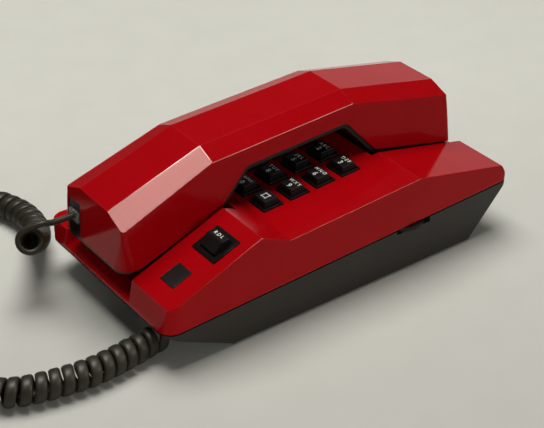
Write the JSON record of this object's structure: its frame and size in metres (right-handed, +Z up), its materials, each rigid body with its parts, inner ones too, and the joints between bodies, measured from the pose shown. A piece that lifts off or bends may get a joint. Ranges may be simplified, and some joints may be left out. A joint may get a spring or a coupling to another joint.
{
  "type": "desk telephone",
  "caption": "Wedge-shaped faceted desk telephone: red cover on a grey tray, push-button keypad under the grip of a lift-off handset, redial key, volume wheel, curly cord.",
  "frame": {"origin": "centre of the base's footprint, on the surface that the telephone stands on", "axes": "+X to the user's right, +Y from the near (user's) end to the far end, +Z up"},
  "size_m": [0.2014, 0.3254, 0.0889],
  "materials": {
    "red_plastic": "gloss",
    "grey_plastic": "satin",
    "dark_plastic": "satin",
    "black_plastic": "satin",
    "board": "satin",
    "soft_rubber": "matte",
    "zinc_steel": "satin",
    "capsule_metal": "satin",
    "clear_plastic": "gloss",
    "cord_jacket": "satin"
  },
  "bodies": {
    "base": {"base_top_cover": "red_plastic", "base_bottom_tray": "grey_plastic", "hook_switch": "dark_plastic", "volume_control": "dark_plastic", "keypad_frame": "black_plastic", "redial_bezel": "black_plastic", "base_handset_jack": "black_plastic", "line_jack": "black_plastic", "badge_plate": "black_plastic", "circuit_board": "board", "redial_board": "board", "keypad_mat": "soft_rubber", "rubber_feet": "soft_rubber", "board_screws": "zinc_steel", "case_screws": "zinc_steel", "tone_ringer": "capsule_metal", "base_cord_plug": "clear_plastic", "handset_cord": "cord_jacket"},
    "handset": {"handset_outer_shell": "red_plastic", "handset_inner_shell": "dark_plastic", "transmitter_capsule": "capsule_metal", "transmitter_seal": "soft_rubber", "receiver_capsule": "capsule_metal", "receiver_seal": "soft_rubber", "handset_jack": "black_plastic", "handset_weight": "zinc_steel", "handset_screws": "zinc_steel", "handset_cord_plug": "clear_plastic"},
    "hook_plunger_body": {"hook_plunger": "dark_plastic"},
    "volume_wheel_body": {"volume_wheel": "dark_plastic"},
    "redial_key_body": {"redial_key": "black_plastic"},
    "key_star_body": {"key_star": "black_plastic"},
    "key_0_body": {"key_0": "black_plastic"},
    "key_hash_body": {"key_hash": "black_plastic"},
    "key_7_body": {"key_7": "black_plastic"},
    "key_8_body": {"key_8": "black_plastic"},
    "key_9_body": {"key_9": "black_plastic"},
    "key_4_body": {"key_4": "black_plastic"},
    "key_5_body": {"key_5": "black_plastic"},
    "key_6_body": {"key_6": "black_plastic"},
    "key_1_body": {"key_1": "black_plastic"},
    "key_2_body": {"key_2": "black_plastic"},
    "key_3_body": {"key_3": "black_plastic"}
  },
  "joints": [
    {"name": "handset_lift", "type": "slide", "parent": "base", "child": "handset", "axis": [0, 0, 1], "range_m": [0, 0.12]},
    {"name": "hook_plunger_rise", "type": "slide", "parent": "base", "child": "hook_plunger_body", "axis": [0, 0, 1], "range_m": [0, 0.004]},
    {"name": "volume_turn", "type": "hinge", "parent": "base", "child": "volume_wheel_body", "pos_m": [0.046, 0.0442, 0.02616], "axis": [0, 0, 1], "range_deg": [-150, 150]},
    {"name": "redial_press", "type": "slide", "parent": "base", "child": "redial_key_body", "axis": [0, 0.3717, -0.9284], "range_m": [0, 0.0025], "stiffness_N_per_m": 320},
    {"name": "key_star_press", "type": "slide", "parent": "base", "child": "key_star_body", "axis": [0, 0.0598, -0.9982], "range_m": [0, 0.0025], "stiffness_N_per_m": 320},
    {"name": "key_0_press", "type": "slide", "parent": "base", "child": "key_0_body", "axis": [0, 0.0598, -0.9982], "range_m": [0, 0.0025], "stiffness_N_per_m": 320},
    {"name": "key_hash_press", "type": "slide", "parent": "base", "child": "key_hash_body", "axis": [0, 0.0598, -0.9982], "range_m": [0, 0.0025], "stiffness_N_per_m": 320},
    {"name": "key_7_press", "type": "slide", "parent": "base", "child": "key_7_body", "axis": [0, 0.0598, -0.9982], "range_m": [0, 0.0025], "stiffness_N_per_m": 320},
    {"name": "key_8_press", "type": "slide", "parent": "base", "child": "key_8_body", "axis": [0, 0.0598, -0.9982], "range_m": [0, 0.0025], "stiffness_N_per_m": 320},
    {"name": "key_9_press", "type": "slide", "parent": "base", "child": "key_9_body", "axis": [0, 0.0598, -0.9982], "range_m": [0, 0.0025], "stiffness_N_per_m": 320},
    {"name": "key_4_press", "type": "slide", "parent": "base", "child": "key_4_body", "axis": [0, 0.0598, -0.9982], "range_m": [0, 0.0025], "stiffness_N_per_m": 320},
    {"name": "key_5_press", "type": "slide", "parent": "base", "child": "key_5_body", "axis": [0, 0.0598, -0.9982], "range_m": [0, 0.0025], "stiffness_N_per_m": 320},
    {"name": "key_6_press", "type": "slide", "parent": "base", "child": "key_6_body", "axis": [0, 0.0598, -0.9982], "range_m": [0, 0.0025], "stiffness_N_per_m": 320},
    {"name": "key_1_press", "type": "slide", "parent": "base", "child": "key_1_body", "axis": [0, 0.0598, -0.9982], "range_m": [0, 0.0025], "stiffness_N_per_m": 320},
    {"name": "key_2_press", "type": "slide", "parent": "base", "child": "key_2_body", "axis": [0, 0.0598, -0.9982], "range_m": [0, 0.0025], "stiffness_N_per_m": 320},
    {"name": "key_3_press", "type": "slide", "parent": "base", "child": "key_3_body", "axis": [0, 0.0598, -0.9982], "range_m": [0, 0.0025], "stiffness_N_per_m": 320}
  ],
  "couplings": [
    {"joint": "hook_plunger_rise", "follows": "handset_lift", "ratio": 0.033333}
  ]
}
